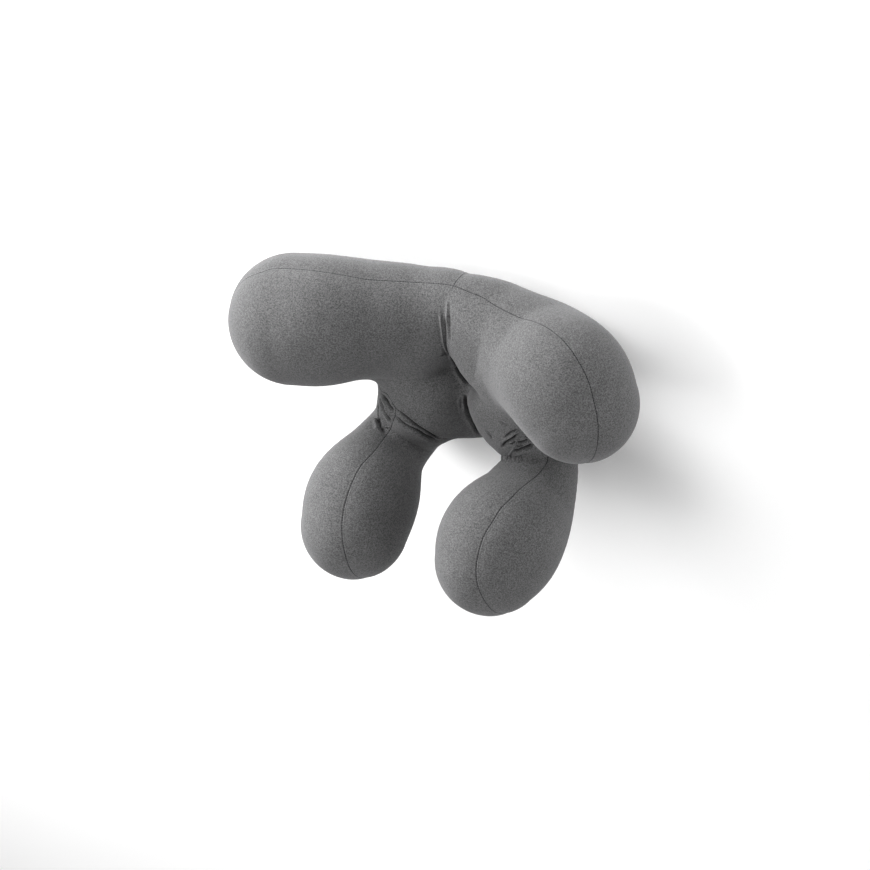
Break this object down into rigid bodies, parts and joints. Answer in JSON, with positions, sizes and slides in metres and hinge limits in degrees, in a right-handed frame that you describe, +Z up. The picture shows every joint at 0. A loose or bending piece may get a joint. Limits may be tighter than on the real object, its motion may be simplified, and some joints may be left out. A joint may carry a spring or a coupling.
{
  "type": "ergonomic head pillow",
  "caption": "Soft filled knit pillow lying on its back: two thick arms spread from a creased middle and two teardrop lobes stand up below them.",
  "frame": {"origin": "on the surface that the pillow lies on, below the middle of its outline seen from above", "axes": "+X along the arms, towards the right arm as one looks at the face from its front; +Y from the lobes to the top of the arms; +Z up from the back, the way the face looks"},
  "size_m": [0.497, 0.3532, 0.2362],
  "materials": {
    "knit_cover": "brushed heathered grey knit"
  },
  "bodies": {
    "root": {"pillow": "knit_cover"}
  },
  "joints": []
}
